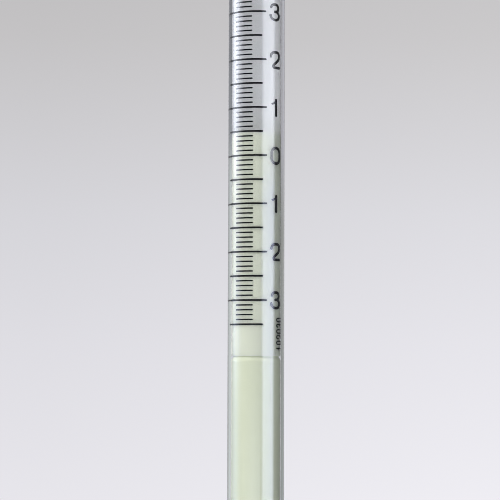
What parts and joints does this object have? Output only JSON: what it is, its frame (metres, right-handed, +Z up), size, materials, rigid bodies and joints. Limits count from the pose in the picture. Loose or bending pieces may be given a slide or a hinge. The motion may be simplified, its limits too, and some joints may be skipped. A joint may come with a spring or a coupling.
{
  "type": "glass hydrometer",
  "caption": "Sealed glass hydrometer with a weighted bulb, a straight float and a thin stem that holds a rolled paper scale.",
  "frame": {"origin": "bottom tip of the ballast bulb, on the instrument's axis", "axes": "+Z up the stem, -Y out of the front of the scale, +X to the right of the reader"},
  "size_m": [0.022, 0.022, 0.2038],
  "materials": {
    "glass": "clear, smooth, flame-polished",
    "scale_paper": "thin matt translucent paper",
    "liner_paper": "matt pale green paper",
    "ink": "matt black printing ink",
    "cement": "dried amber adhesive",
    "shot": "dull steel shot",
    "wax": "brick-red sealing wax"
  },
  "bodies": {
    "root": {"stem_tube": "glass", "float_body": "glass", "scale_sheet": "scale_paper", "zone_liner": "liner_paper", "scale_cement": "cement", "unit_marks": "ink", "half_marks": "ink", "tenth_marks": "ink", "numerals": "ink", "lot_digits": "ink", "ballast_shot": "shot", "ballast_wax": "wax"}
  },
  "joints": []
}
